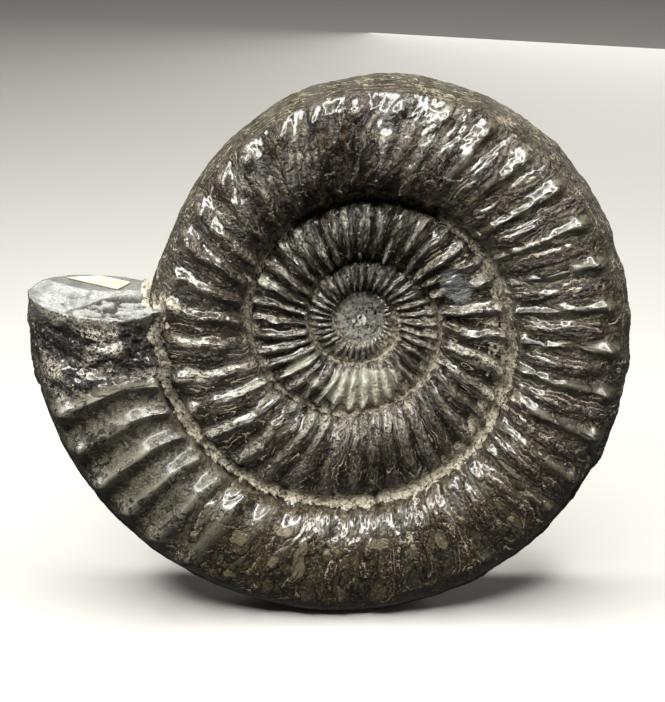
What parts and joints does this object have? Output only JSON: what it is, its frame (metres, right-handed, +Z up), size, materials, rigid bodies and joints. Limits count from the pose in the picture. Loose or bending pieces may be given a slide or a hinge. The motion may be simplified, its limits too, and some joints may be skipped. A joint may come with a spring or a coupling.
{
  "type": "ammonite fossil",
  "caption": "Ribbed spiral ammonite fossil in dark polished stone, standing on its outer edge, with a blank paper slip on the broken end.",
  "frame": {"origin": "middle of the bounding box at the level of the flat spot that the fossil stands on", "axes": "+Z up, +Y along the axis of the coil from the front to the back, +X to the right as seen from the front, with the broken end at -X"},
  "size_m": [0.0996, 0.0278, 0.0911],
  "materials": {
    "ammonite": "dark brown-grey fossil stone, glossy on the ribs, rough and pale on the broken end",
    "paper_label": "matt cream paper"
  },
  "bodies": {
    "root": {"ammonite": "ammonite", "paper_label": "paper_label"}
  },
  "joints": []
}
